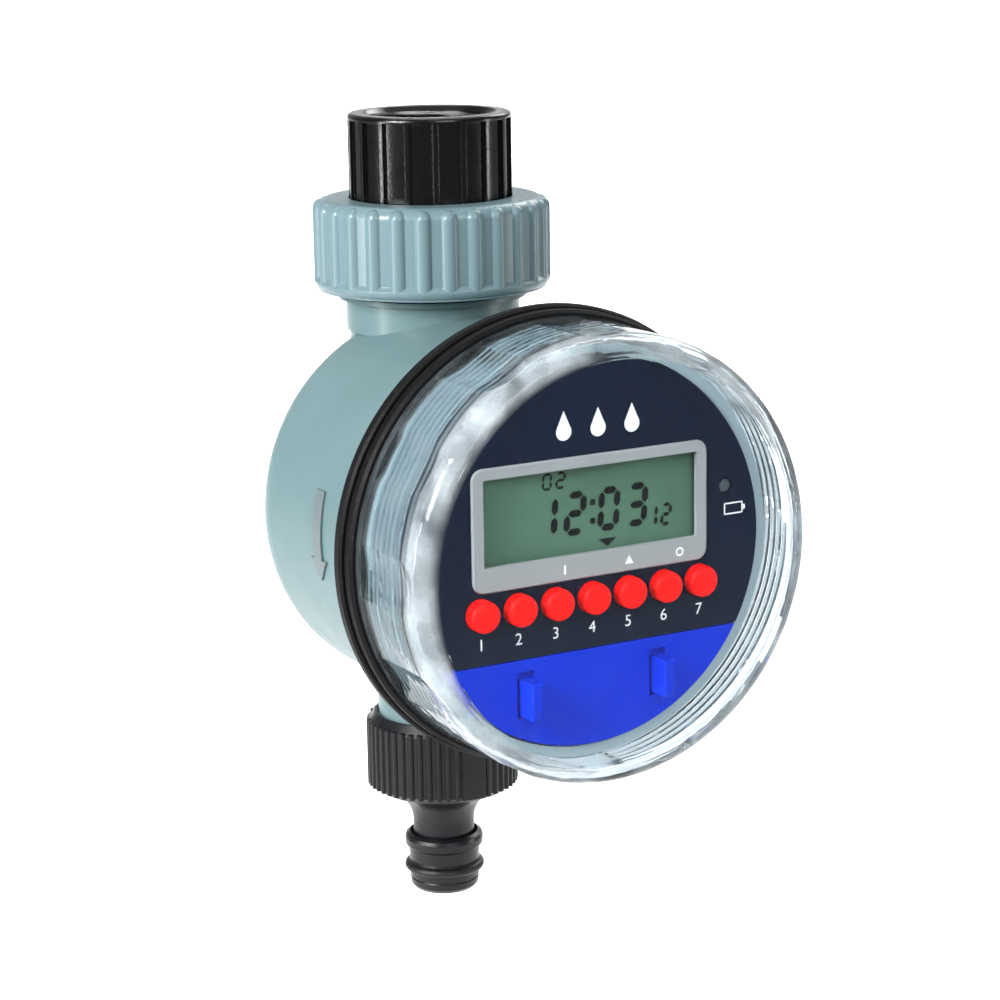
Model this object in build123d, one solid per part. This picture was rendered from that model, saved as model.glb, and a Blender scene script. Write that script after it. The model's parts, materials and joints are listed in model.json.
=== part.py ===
from build123d import *
import os
from math import acos, cos, degrees, pi, radians, sin, sqrt, tan

# Tap timer with a motor-driven ball valve, in millimetres, +Z up.
# The row frame has its origin in the middle of the tap adapter's mouth, where the threaded wall
# starts. Water runs straight down the Z axis. The drum's axis lies along Y, DRUM_DROP below the
# origin, and the control panel faces -Y.
#
# Three local frames keep the numbers simple:
#   row frame     tap adapter, inlet nut and washers, levels measured from the mouth
#   FACE frame    everything on the drum's axis: X to the right and Y up as seen by the user,
#                 Z forward from the water way's axis
#   OUTLET frame  everything on the hose outlet, Z counted downwards from the drum's axis

RUN = 0.05  # running clearance of a shaft in its hole
FIT = 0.1  # clearance between pieces of one body
GAP = 0.3  # clearance between bodies

# ---- tap adapter, inlet nut and spigot: driving dimensions ----------------------------------
ADAPTER_RIM = 1.2  # rim above the first turn of the mouth's thread
ADAPTER_RADIUS = 17.5
ADAPTER_RIDGES = 18
ADAPTER_RIDGE_WIDTH = 1.3
ADAPTER_RIDGE_TURN = -4.0  # degrees
ADAPTER_PANEL_DEPTH = 0.7
ADAPTER_LIP = 1.2  # plain edge above the ridges
ADAPTER_PASSAGE = 10.0
ADAPTER_LENGTH = 29.2  # mouth to the end of the one inch tail
SOCKET_RADIUS = 13.22  # three-quarter inch pipe thread, outside radius
SOCKET_DEPTH = 13.0
THREADED_WALL = 11.0  # threaded part of the socket; the tap washer lies in the relief below it
SPIGOT_RADIUS = 16.0
NUT_TOP = -16.7
NUT_WALL = 8.65  # spigot to the nut's body
NUT_RIBS = 28
NUT_RIB_RADIUS = 2.0
NUT_RIB_PROUD = 0.85
NUT_RIB_DROP = 2.4  # nut's top to the middle of each rib's round end
NUT_BAND = 2.9  # plain band below the ribs
WASHER_THICKNESS = 2.0
RETAINER_THICKNESS = 1.8
NUT_STANDOFF = 1.0  # bare spigot between the nut and the collar
COLLAR_STEP = 2.7  # the collar below the nut is this much wider than the spigot
COLLAR_HEIGHT = 3.6  # collar between the nut and the top of the drum
COLLAR_FOOT = 4.2  # the collar ends this far below the top of the drum
COLLAR_RING = 1.6  # thin ring round the collar, just under the nut

# ---- ball valve: driving dimensions ---------------------------------------------------------
BALL_RADIUS = 9.0
BALL_BORE = 5.0
STEM_RADIUS = 3.0
CHANNEL_WALL = 4.2
PASSAGE_RADIUS = 6.0
GLAND_RADIUS = 5.4
GLAND_FLANGE = 7.0
BULGE_RADIUS = 18.0  # the channel where it stands out of the drum's back

# ---- gearbox: driving dimensions --------------------------------------------------------------
PLATE = 2.0
GEARBOX_RADIUS = 32.6
GEARBOX_WALL = 1.6
EAR_RADIUS = 3.6
EAR_ANGLES = (50, 130, 230, 310)
PRESSURE_ANGLE = radians(25)
BACKLASH = 0.12
FINE, MIDDLE, COARSE = 0.5, 0.6, 0.7  # gear modules
FINE_WIDTH, MIDDLE_WIDTH, COARSE_WIDTH = 2.0, 2.5, 4.0
PINION_TEETH = 12
WHEEL_TEETH = 36
OUTPUT_TEETH = 40
PIN_RADIUS = 1.0
CAM_RADIUS = 5.2
CAM_LOBE = 7.6
MOTOR_RADIUS = 7.8
MOTOR_LENGTH = 18.0
MOTOR_SHAFT = 0.75

# ---- drum, neck and cover: driving dimensions -------------------------------------------------
DRUM_RADIUS = 41.2
DRUM_WALL = 2.2
DRUM_BACK = 10.0  # flat back of the drum, behind the water way's axis
DRUM_BACK_FILLET = 12.0
NECK_LENGTH = 15.3
NECK_STEP = 1.25  # the neck is this much wider than the drum
FLANGE_STEP = 3.8
FLANGE_THICKNESS = 1.9
RING_STEP = 2.7  # rubber band over the flange's rim
GASKET_THICKNESS = 3.05
ARROW_PROUD = 0.5  # flow arrow raised on the drum's side
COVER_WALL = 1.7
COVER_HEADROOM = 12.2  # panel to the front of the cover
COVER_LIP = 0.25  # the plain lip at the cover's rear stands this far proud
COVER_LIP_WIDTH = 2.0
COVER_EDGE = 4.5  # rounding of the cover's front edge
WINDOW_THICKNESS = 2.2
SCOOPS = 12
SCOOP_DEPTH = 1.15
SCOOP_WIDTH = 11.0
COVER_LEAD = 8.0
COVER_STARTS = 4
COVER_THREAD_HEIGHT = 0.9

# ---- control module and battery tray: driving dimensions --------------------------------------
PANEL_THICKNESS = 2.0
CASE_WALL = 2.0
WELL_WALL = 1.5
BOARD_THICKNESS = 1.6
SNAP_ANGLES = (0, 60, 120, 180)
BUTTONS = 7
BUTTON_PITCH = 8.5
BUTTON_Y = -9.15
BUTTON_RADIUS = 3.25
BUTTON_FLANGE = 4.0
BUTTON_PROUD = 2.8
BUTTON_TRAVEL = 0.9
DISPLAY_Y = 9.0
DISPLAY_WIDTH, DISPLAY_HEIGHT = 49.6, 17.6
BEZEL_WIDTH, BEZEL_HEIGHT = 54.6, 25.0
BEZEL_Y = 7.6
BEZEL_PROUD = 0.5
LED_X, LED_Y, LED_RADIUS = 32.0, 9.7, 1.5
CELL_RADIUS = 5.15  # AAA cell
CELL_LENGTH = 44.5
CELL_NUB_RADIUS, CELL_NUB = 1.9, 1.2
TRAY_WALL = 1.1
TAB_X = 15.5
TAB_WIDTH, TAB_HEIGHT, TAB_PROUD = 2.6, 7.6, 4.8
TAB_POCKET = 1.2

# ---- hose outlet: driving dimensions ------------------------------------------------------------
STUB_CREST = 13.2  # three-quarter inch pipe thread
OUTLET_PITCH = 1.814
OUTLET_COLLAR_LENGTH = 9.0
STUB_LENGTH = 9.8
CONNECTOR_WALL = 3.4
CONNECTOR_GROUPS = 3
CONNECTOR_RIBS_PER_GROUP = 14
CONNECTOR_RIB_PITCH = 7.2  # degrees
CONNECTOR_TURN = 33.6  # degrees
CONNECTOR_THREAD_HEIGHT = 0.9
NIPPLE_LENGTH = 28.6
NIPPLE_NECK = 6.85
NIPPLE_BORE = 4.5

# ---- radii worked out from the drum outwards ------------------------------------------------
DRUM_BORE = DRUM_RADIUS - DRUM_WALL
NECK_RADIUS = DRUM_RADIUS + NECK_STEP
FLANGE_RADIUS = DRUM_RADIUS + FLANGE_STEP
RING_RADIUS = FLANGE_RADIUS + RING_STEP
COVER_BORE = NECK_RADIUS + COVER_THREAD_HEIGHT + GAP + RUN
COVER_RADIUS = COVER_BORE + COVER_WALL
GASKET_RADIUS = COVER_RADIUS + 1.5
CASE_RADIUS = DRUM_BORE - GAP
CASE_RIM = DRUM_BORE + 0.9
RIM_BORE = CASE_RIM + GAP
PANEL_RADIUS = CASE_RIM - FIT
BOARD_RADIUS = CASE_RADIUS - CASE_WALL - 0.5
TRAY_RADIUS = CASE_RADIUS - FIT

# ---- battery bays: the cells lie as low in the tray as their corners allow ----------------------
BAY_RADIUS = CELL_RADIUS + FIT
BAY_HALF = CELL_LENGTH / 2 + 0.65
CELL_PITCH = 2 * CELL_RADIUS + 0.7
BAY_FLOOR = sqrt((TRAY_RADIUS - 0.5) ** 2 - BAY_HALF**2)
CELL_Y = BAY_RADIUS - BAY_FLOOR
TRAY_TOP = CELL_Y + CELL_RADIUS + 0.45  # line between the panel and the battery tray
TRAY_DEPTH = 2 * TRAY_WALL + 2 * BAY_RADIUS + CELL_PITCH

# ---- levels along the drum's axis, forward from the water way -----------------------------------
CHANNEL_BORE = BALL_RADIUS + GAP
CHANNEL_RADIUS = CHANNEL_BORE + CHANNEL_WALL
GEARBOX_BACK = CHANNEL_RADIUS + 1.0
FINE_BACK = GEARBOX_BACK + PLATE + 1.0
FINE_PLANE = (FINE_BACK, FINE_BACK + FINE_WIDTH)
MIDDLE_PLANE = (FINE_PLANE[1] + 1.0, FINE_PLANE[1] + 1.0 + MIDDLE_WIDTH)
COARSE_PLANE = (MIDDLE_PLANE[1] + 1.0, MIDDLE_PLANE[1] + 1.0 + COARSE_WIDTH)
GEARBOX_FRONT = COARSE_PLANE[1] + 1.5 + PLATE
WELL_BACK = GEARBOX_FRONT + 4.5
TRAY_BACK = WELL_BACK + WELL_WALL + 1.2
PANEL_BACK = TRAY_BACK + TRAY_DEPTH
PANEL_FRONT = PANEL_BACK + PANEL_THICKNESS
BOARD_FRONT = PANEL_BACK - 7.4
BOARD_BACK = BOARD_FRONT - BOARD_THICKNESS
CASE_BACK = BOARD_BACK - 9.4
NECK_SEAT = PANEL_BACK - 4.4  # step that carries the module's rim
NECK_END = PANEL_FRONT - 1.0
SNAP_HIGH = NECK_SEAT - 5.5
SNAP_LOW = SNAP_HIGH - 2.5
FLANGE_FRONT = NECK_END - NECK_LENGTH
FLANGE_BACK = FLANGE_FRONT - FLANGE_THICKNESS
RING_BACK = FLANGE_BACK - 1.0
COVER_BACK = FLANGE_FRONT + GASKET_THICKNESS
COVER_FRONT = PANEL_FRONT + COVER_HEADROOM
COVER_PITCH = COVER_LEAD / COVER_STARTS
SCOOP_END = COVER_FRONT - 8.4  # where each scoop starts to run out
NECK_THREAD_START = FLANGE_FRONT + 3.9
NECK_THREAD_LENGTH = NECK_LENGTH - 4.3
COVER_THREAD_START = NECK_THREAD_START + COVER_PITCH / 2
COVER_THREAD_LENGTH = COVER_FRONT - 6.6 - COVER_THREAD_START

# ---- levels in the row frame, down from the mouth -------------------------------------------------
ADAPTER_END = -ADAPTER_LENGTH
ADAPTER_TAIL = SPIGOT_RADIUS + 0.4  # the adapter's own one inch thread
WASHER_RELIEF = SOCKET_RADIUS + 0.5
SPIGOT_TOP = ADAPTER_END - WASHER_THICKNESS
RETAINER_HIGH = SPIGOT_TOP - 1.6
RETAINER_LOW = RETAINER_HIGH - RETAINER_THICKNESS
RETAINER_GROOVE = SPIGOT_RADIUS - 1.4
NUT_BOTTOM = RETAINER_LOW - 1.4
NUT_BODY = SPIGOT_RADIUS + NUT_WALL
NUT_RADIUS = NUT_BODY + NUT_RIB_PROUD
COLLAR_TOP = NUT_BOTTOM - NUT_STANDOFF
COLLAR_RADIUS = SPIGOT_RADIUS + COLLAR_STEP
DRUM_DROP = COLLAR_HEIGHT - COLLAR_TOP + DRUM_RADIUS  # mouth down to the drum's axis
SEAT_DEPTH = BALL_RADIUS + 0.6

# ---- levels in the outlet frame, down from the drum's axis --------------------------------------
OUTLET_COLLAR = STUB_CREST + 0.8
OUTLET_COLLAR_END = DRUM_RADIUS + OUTLET_COLLAR_LENGTH
STUB_ROOT = STUB_CREST - 1.0
STUB_END = OUTLET_COLLAR_END + STUB_LENGTH
CONNECTOR_TOP = OUTLET_COLLAR_END - 0.8
CONNECTOR_BORE = STUB_CREST + GAP
CONNECTOR_RADIUS = CONNECTOR_BORE + CONNECTOR_WALL
CONNECTOR_FLOOR = STUB_END + 2.4
NIPPLE_END = CONNECTOR_FLOOR + NIPPLE_LENGTH
O_RING_LEVEL = NIPPLE_END - 5.0
STUB_THREAD_START = OUTLET_COLLAR_END + 0.6
STUB_THREAD_LENGTH = STUB_LENGTH - 1.0

UP = (Align.CENTER, Align.CENTER, Align.MIN)
FACE = Pos(0, 0, -DRUM_DROP) * Rot(90, 0, 0)
OUTLET = Pos(0, 0, -DRUM_DROP) * Rot(180, 0, 0)
EAR_CIRCLE = GEARBOX_RADIUS + 1.0
EAR_PLACES = [(EAR_CIRCLE * cos(radians(a)), EAR_CIRCLE * sin(radians(a))) for a in EAR_ANGLES]


# ---- shared shapes ------------------------------------------------------------------------
def rod(radius, low, high, at=(0, 0)):
    """Cylinder along Z between two levels."""
    return Pos(at[0], at[1], low) * Cylinder(radius, high - low, align=UP)


def pipe(outer, inner, low, high, at=(0, 0)):
    """Hollow cylinder along Z between two levels."""
    return rod(outer, low, high, at) - rod(inner, low, high, at)


def block(x, y, z):
    """Box from three (low, high) pairs."""
    size = [high - low for low, high in (x, y, z)]
    return Pos(x[0], y[0], z[0]) * Box(*size, align=(Align.MIN, Align.MIN, Align.MIN))


def turned(points):
    """Solid of revolution about Z from an outline of (radius, level) points."""
    return revolve(make_face(Plane.XZ * Polyline(*points, close=True)), Axis.Z)


def ring(major, minor, level):
    """Round ring about Z."""
    return Pos(0, 0, level) * Torus(major, minor)


def around(shape, count, first=0):
    """Copies of a shape spread evenly about Z."""
    return [Rot(0, 0, first + 360 * i / count) * shape for i in range(count)]


def polar(radius, angle):
    """Point at a radius and an angle in degrees."""
    return (radius * cos(radians(angle)), radius * sin(radians(angle)))


def thread(lead, starts, low, length, root, crest):
    """Helical ridges from the root radius to the crest radius, one per start."""
    pitch = lead / starts
    root_width, crest_width = 0.48 * pitch, 0.15 * pitch
    corners = [(root, -root_width), (crest, -crest_width), (crest, crest_width), (root, root_width)]
    rise = length - root_width
    lines = []
    for radius, offset in corners:
        start = (0, 0, low + (root_width + offset) / 2)
        lines.append(Edge.make_helix(lead, rise, radius, center=start))
    sides = [Face.make_surface_from_curves(a, b) for a, b in zip(lines, lines[1:] + lines[:1])]
    ends = [Face(Wire.make_polygon([line @ t for line in lines], close=True)) for t in (0, 1)]
    return around(Solid(Shell(sides + ends)), starts)


def countersunk_screw(radius, head, low, high, at):
    """Screw along Z with a domed head above the level high."""
    head_height = 0.7 * radius + 0.6
    body = rod(radius, low, high, at) + rod(head, high, high + head_height, at)
    top = body.edges().filter_by(GeomType.CIRCLE).sort_by(Axis.Z)[-1]
    slot = block((-head, head), (-0.25, 0.25), (high + head_height / 2, high + head_height))
    return fillet(top, head_height / 3) - Pos(at[0], at[1], 0) * slot


# ---- tap adapter and inlet nut (row frame) ------------------------------------------------
def make_tap_adapter():
    """Reducer: tap thread inside at the top, one inch tail that the inlet nut turns on."""
    shoulder = NUT_TOP - 0.5
    body = rod(ADAPTER_RADIUS, shoulder, ADAPTER_RIM)
    body = fillet(body.edges().sort_by(Axis.Z)[-1], 0.9)
    pitch_angle = 360 / ADAPTER_RIDGES
    ridge_angle = degrees(ADAPTER_RIDGE_WIDTH / ADAPTER_RADIUS)
    half = radians(pitch_angle - ridge_angle) / 2
    low_x = (ADAPTER_RADIUS - ADAPTER_PANEL_DEPTH) * cos(half)
    half_width = ADAPTER_RADIUS * sin(half)
    panel_top = ADAPTER_RIM - ADAPTER_LIP
    panel = block((low_x - 2, ADAPTER_RADIUS + 1), (-half_width, half_width), (shoulder, panel_top))
    panel -= rod(ADAPTER_RADIUS - ADAPTER_PANEL_DEPTH, shoulder, ADAPTER_RIM)
    body -= around(panel, ADAPTER_RIDGES, ADAPTER_RIDGE_TURN)
    body += rod(ADAPTER_TAIL, ADAPTER_END, shoulder)
    body -= rod(SOCKET_RADIUS, -SOCKET_DEPTH, ADAPTER_RIM)
    body -= rod(ADAPTER_PASSAGE, ADAPTER_END, 0)
    body -= rod(WASHER_RELIEF, -SOCKET_DEPTH, -THREADED_WALL)
    mouth = [(SOCKET_RADIUS - 0.1, 0), (SOCKET_RADIUS, 0), (SOCKET_RADIUS + 1.2, ADAPTER_RIM)]
    return body - turned(mouth + [(SOCKET_RADIUS - 0.1, ADAPTER_RIM)])


def make_inlet_nut():
    """Ribbed nut that turns on the timer's spigot and pulls the adapter down on its washer."""
    band_top = NUT_BOTTOM + NUT_BAND
    body = rod(NUT_BODY, NUT_BOTTOM, NUT_TOP)
    body = fillet(body.edges().sort_by(Axis.Z)[-1], 2.6)
    band = rod(NUT_RADIUS, NUT_BOTTOM, band_top)
    band = fillet(band.edges().sort_by(Axis.Z)[0], 2.0)
    band = chamfer(band.edges().sort_by(Axis.Z)[-1], NUT_RADIUS - NUT_BODY - 0.01)
    centre = NUT_RADIUS - NUT_RIB_RADIUS
    rib_top = NUT_TOP - NUT_RIB_DROP
    rib = rod(NUT_RIB_RADIUS, band_top - 1.5, rib_top, (centre, 0))
    rib += Pos(centre, 0, rib_top) * Sphere(NUT_RIB_RADIUS)
    body = body + band + around(rib, NUT_RIBS)
    lip_top = RETAINER_LOW - FIT
    body -= rod(ADAPTER_RADIUS + FIT, NUT_TOP - 0.6, NUT_TOP)
    body -= rod(ADAPTER_TAIL + FIT, ADAPTER_END - FIT, NUT_TOP)
    body -= rod(SPIGOT_RADIUS + 2.6, lip_top, ADAPTER_END - FIT)
    body -= rod(SPIGOT_RADIUS + GAP, NUT_BOTTOM, NUT_TOP)
    return Rot(0, 0, 180 / NUT_RIBS) * body


def make_inlet_parts():
    seat = -SOCKET_DEPTH
    return {
        "tap_adapter": make_tap_adapter(),
        "inlet_nut": make_inlet_nut(),
        "tap_washer": pipe(
            WASHER_RELIEF - FIT, ADAPTER_PASSAGE, seat, seat + WASHER_THICKNESS - FIT
        ),
        "adapter_washer": pipe(
            SPIGOT_RADIUS, ADAPTER_PASSAGE, SPIGOT_TOP + RUN, SPIGOT_TOP + RUN + WASHER_THICKNESS - FIT
        ),
    }


def make_retaining_ring():
    """Split ring in the spigot's groove that keeps the nut on."""
    body = pipe(SPIGOT_RADIUS + 2.2, RETAINER_GROOVE + RUN, RETAINER_LOW + FIT, RETAINER_HIGH - FIT)
    return body - block((0, NUT_BODY), (-2, 2), (RETAINER_LOW, RETAINER_HIGH))


def make_filter():
    """Strainer cup that hangs in the spigot's mouth, with slots round its wall."""
    rim = pipe(CHANNEL_BORE + 2.6, 7.2, SPIGOT_TOP - 1.2, SPIGOT_TOP)
    cup = pipe(8.4, 7.2, SPIGOT_TOP - 15, SPIGOT_TOP)
    cup += rod(8.4, SPIGOT_TOP - 16, SPIGOT_TOP - 15)
    slot = block((5, 10), (-0.6, 0.6), (SPIGOT_TOP - 14, SPIGOT_TOP - 3))
    return rim + cup - around(slot, 16)


# ---- housing ------------------------------------------------------------------------------
def flow_arrow():
    """Arrow outline that points down, in the plane of the drum's side."""
    length, head, shaft, point = 19.0, 7.2, 3.6, 4.6
    low = -length / 2
    outline = [
        (0, low),
        (head / 2, low + point),
        (shaft / 2, low + point),
        (shaft / 2, -low),
        (-shaft / 2, -low),
        (-shaft / 2, low + point),
        (-head / 2, low + point),
    ]
    return make_face(Polyline(*outline, close=True))


def make_drum():
    """Drum, flange and threaded neck, hollow, in the FACE frame."""
    drum = rod(DRUM_RADIUS, -DRUM_BACK, FLANGE_BACK)
    drum = fillet(drum.edges().sort_by(Axis.Z)[0], DRUM_BACK_FILLET)
    drum += rod(FLANGE_RADIUS, FLANGE_BACK, FLANGE_FRONT)
    drum += rod(NECK_RADIUS, FLANGE_FRONT, NECK_END)
    hollow = rod(DRUM_BORE, DRUM_WALL - DRUM_BACK, NECK_END)
    hollow = fillet(hollow.edges().sort_by(Axis.Z)[0], DRUM_BACK_FILLET - DRUM_WALL)
    posts = [rod(EAR_RADIUS, -DRUM_BACK, GEARBOX_BACK, at) & drum for at in EAR_PLACES]
    holes = [rod(1.2, GEARBOX_BACK - 12, GEARBOX_BACK, at) for at in EAR_PLACES]
    return drum, hollow, posts, holes


def make_housing():
    """One moulding: drum, inlet spigot, water way with its ball cavity, and threaded outlet."""
    drum, hollow, posts, holes = make_drum()
    shell = FACE * drum
    outlet_end = -DRUM_DROP - OUTLET_COLLAR_END
    way = rod(BULGE_RADIUS, -DRUM_DROP - 0.73 * DRUM_RADIUS, COLLAR_TOP - 8)
    way = fillet(way.edges().sort_by(Axis.Z)[0], 6)
    way += rod(COLLAR_RADIUS, -DRUM_DROP + DRUM_RADIUS - COLLAR_FOOT, COLLAR_TOP)
    way += rod(COLLAR_RADIUS + COLLAR_RING, COLLAR_TOP - 1, COLLAR_TOP)
    way += rod(SPIGOT_RADIUS, COLLAR_TOP - 1, SPIGOT_TOP)
    way += rod(OUTLET_COLLAR, outlet_end, -DRUM_DROP)
    shell += way
    shell -= FACE * hollow
    inner_way = rod(CHANNEL_RADIUS, -DRUM_DROP - DRUM_RADIUS + 1, COLLAR_TOP - 4)
    shell += inner_way
    shell += [FACE * post for post in posts]
    shell += FACE * rod(GLAND_FLANGE + 2, BALL_RADIUS - 1, GEARBOX_BACK - 0.9)
    shell += OUTLET * rod(STUB_ROOT, OUTLET_COLLAR_END, STUB_END)
    shell -= [FACE * hole for hole in holes]
    motor_room = (GEARBOX_BACK - MOTOR_LENGTH - GAP, GEARBOX_BACK)
    shell -= FACE * rod(MOTOR_RADIUS + GAP, *motor_room, MOTOR_AXIS)
    # Water way: wide above the ball, a shoulder below it for the lower seat.
    shell -= rod(CHANNEL_BORE, -DRUM_DROP - SEAT_DEPTH, SPIGOT_TOP)
    shell -= rod(PASSAGE_RADIUS, -DRUM_DROP - STUB_END, -DRUM_DROP)
    shell -= rod(CHANNEL_BORE + 2.7, SPIGOT_TOP - 1.3, SPIGOT_TOP)
    shell -= pipe(SPIGOT_RADIUS + 1, RETAINER_GROOVE, RETAINER_LOW, RETAINER_HIGH)
    shell -= FACE * rod(GLAND_RADIUS + FIT, BALL_RADIUS - 4, GEARBOX_BACK)
    # Seat for the module's rim and groove for its snap lugs.
    shell -= FACE * rod(RIM_BORE, NECK_SEAT, NECK_END)
    shell -= FACE * pipe(DRUM_BORE + 0.9, DRUM_BORE - 1, SNAP_LOW, SNAP_HIGH)
    arrow = extrude(Plane.YZ * flow_arrow(), amount=4)
    arrow = Pos(-DRUM_RADIUS - 2, -0.55 * FLANGE_BACK, 0.8 - DRUM_DROP) * arrow
    shell += arrow & FACE * rod(DRUM_RADIUS + ARROW_PROUD, 0, FLANGE_BACK)
    neck_thread = thread(
        COVER_LEAD,
        COVER_STARTS,
        NECK_THREAD_START,
        NECK_THREAD_LENGTH,
        NECK_RADIUS - 0.2,
        NECK_RADIUS + COVER_THREAD_HEIGHT,
    )
    stub_thread = thread(
        OUTLET_PITCH, 1, STUB_THREAD_START, STUB_THREAD_LENGTH, STUB_ROOT - 0.2, STUB_CREST
    )
    shell += [FACE * ridge for ridge in neck_thread]
    return shell + [OUTLET * ridge for ridge in stub_thread]


# ---- valve (FACE frame, axis through the ball) ----------------------------------------------
def make_valve_parts():
    """Ball, seats, stem and gland. The ball rests closed, with its bore across the flow."""
    ball = Sphere(BALL_RADIUS) - Rot(0, 90, 0) * Cylinder(BALL_BORE, 3 * BALL_RADIUS)
    slot_floor = BALL_RADIUS - 2.6
    ball -= block((-BALL_RADIUS, BALL_RADIUS), (-1.6, 1.6), (slot_floor, BALL_RADIUS + 1))
    seat = pipe(CHANNEL_BORE - FIT, PASSAGE_RADIUS, SEAT_DEPTH - 4.4, SEAT_DEPTH - RUN)
    seat -= Sphere(BALL_RADIUS + RUN)
    retainer = pipe(CHANNEL_BORE - FIT, PASSAGE_RADIUS + 0.5, SEAT_DEPTH, SEAT_DEPTH + 11)
    retainer -= around(block((6, 10), (-1, 1), (SEAT_DEPTH + 9, SEAT_DEPTH + 11)), 4)
    groove = pipe(STEM_RADIUS + 1, STEM_RADIUS - 0.7, 0, 1.7)
    stem_end = COARSE_PLANE[1] + 1.2
    stem = rod(STEM_RADIUS, BALL_RADIUS + FIT, stem_end)
    tongue = block((-STEM_RADIUS, STEM_RADIUS), (-1.5, 1.5), (slot_floor + FIT, BALL_RADIUS + 0.2))
    stem += tongue & rod(STEM_RADIUS, 0, stem_end)
    gland_low = CHANNEL_BORE + 0.6
    seals = [gland_low + 0.4, gland_low + 2.0]
    stem -= [Pos(0, 0, level) * groove for level in seals]
    stem -= block((STEM_RADIUS - 0.6, STEM_RADIUS + 1), (-4, 4), (COARSE_PLANE[0] - 4, stem_end))
    stem_rings = [ring(STEM_RADIUS - 0.07, 0.6, level + 0.85) for level in seals]
    gland = rod(GLAND_RADIUS, gland_low, GEARBOX_BACK - FIT)
    gland += rod(GLAND_FLANGE, GEARBOX_BACK - 0.85, GEARBOX_BACK - FIT)
    gland -= rod(STEM_RADIUS + RUN, 0, GEARBOX_BACK)
    gland -= rod(STEM_RADIUS + 0.6, gland_low + 0.2, GEARBOX_BACK - 0.9)
    upright = Rot(-90, 0, 0)
    return {
        "valve_ball": ball,
        "ball_seats": Compound([upright * seat, Rot(180, 0, 0) * upright * seat]),
        "seat_retainer": upright * retainer,
        "ball_stem": stem,
        "stem_o_rings": Compound(stem_rings),
        "stem_gland": gland,
    }


# ---- gear train (FACE frame) ----------------------------------------------------------------
def gear_blank(teeth, module, plane, phase):
    """Spur wheel with involute flanks; a tooth points in the direction of the phase angle."""
    pitch = module * teeth / 2
    base = pitch * cos(PRESSURE_ANGLE)
    tip, root = pitch + 0.85 * module, pitch - 1.1 * module
    half = (pi * module / 2 - BACKLASH) / (2 * pitch) + tan(PRESSURE_ANGLE) - PRESSURE_ANGLE
    start = max(base, root)

    def point(radius, turn, side):
        """Point of a flank, turned by an angle from the tooth's middle line."""
        roll = acos(min(1.0, base / radius))
        return polar(radius, turn + side * degrees(half - tan(roll) + roll))

    edges, first, last = [], None, None
    for number in range(teeth):
        turn = 360 * number / teeth
        rise = [point(radius, turn, -1) for radius in (start, (start + tip) / 2, tip)]
        fall = [point(radius, turn, 1) for radius in (tip, (start + tip) / 2, start)]
        foot, far_foot = rise[0], fall[-1]
        if base > root:
            foot = tuple(root / start * c for c in rise[0])
            far_foot = tuple(root / start * c for c in fall[-1])
            edges.append(Edge.make_line(foot, rise[0]))
        if last is not None:
            edges.append(Edge.make_line(last, foot))
        edges.append(Edge.make_three_point_arc(*rise))
        edges.append(Edge.make_line(rise[-1], fall[0]))
        edges.append(Edge.make_three_point_arc(*fall))
        if base > root:
            edges.append(Edge.make_line(fall[-1], far_foot))
        first = first or foot
        last = far_foot
    edges.append(Edge.make_line(last, first))
    wheel = extrude(Face(Wire(edges)), amount=plane[1] - plane[0])
    return Pos(0, 0, plane[0]) * Rot(0, 0, phase) * wheel


def meshing_phase(teeth, towards):
    """Phase that puts a gap between two teeth in the given direction."""
    return towards + 180 / teeth


def centre_distance(module, wheel_teeth):
    return module * (PINION_TEETH + wheel_teeth) / 2


TO_SECOND, TO_FIRST, TO_MOTOR = 0, -120, 0  # directions from each axis to the next
SECOND_AXIS = polar(centre_distance(COARSE, OUTPUT_TEETH), TO_SECOND)
_first_arm = polar(centre_distance(MIDDLE, WHEEL_TEETH), TO_FIRST)
FIRST_AXIS = (SECOND_AXIS[0] + _first_arm[0], SECOND_AXIS[1] + _first_arm[1])
_motor_arm = polar(centre_distance(FINE, WHEEL_TEETH), TO_MOTOR)
MOTOR_AXIS = (FIRST_AXIS[0] + _motor_arm[0], FIRST_AXIS[1] + _motor_arm[1])


def compound_gear(wheel_module, wheel_plane, pinion_module, pinion_plane, driver, driven):
    """Wheel and pinion on one hub; driver and driven are the directions to its neighbours."""
    wheel = gear_blank(WHEEL_TEETH, wheel_module, wheel_plane, meshing_phase(WHEEL_TEETH, driver))
    pinion = gear_blank(PINION_TEETH, pinion_module, pinion_plane, driven)
    hub = rod(2.2, wheel_plane[0] - 0.6, pinion_plane[1] + 0.6)
    return wheel + pinion + hub - rod(PIN_RADIUS + RUN, 0, GEARBOX_FRONT)


def make_output_gear():
    """Wheel on the ball's stem, with the cam that works the limit switches."""
    phase = meshing_phase(OUTPUT_TEETH, TO_SECOND)
    wheel = gear_blank(OUTPUT_TEETH, COARSE, COARSE_PLANE, phase)
    cam_low = MIDDLE_PLANE[0]
    cam = rod(CAM_RADIUS, cam_low, COARSE_PLANE[0])
    lobe = block((-CAM_LOBE, 0), (-1.6, 1.6), (cam_low, COARSE_PLANE[0]))
    lobe = fillet(lobe.edges().filter_by(Axis.Z).group_by(Axis.X)[0], 1.4)
    flat = block((STEM_RADIUS - 0.5, STEM_RADIUS + 1), (-4, 4), (cam_low, COARSE_PLANE[1]))
    bore = rod(STEM_RADIUS + RUN, cam_low, COARSE_PLANE[1]) - flat
    recess = pipe(11.0, 6.0, COARSE_PLANE[1] - 1.2, COARSE_PLANE[1])
    return wheel + cam + lobe - bore - recess


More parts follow.
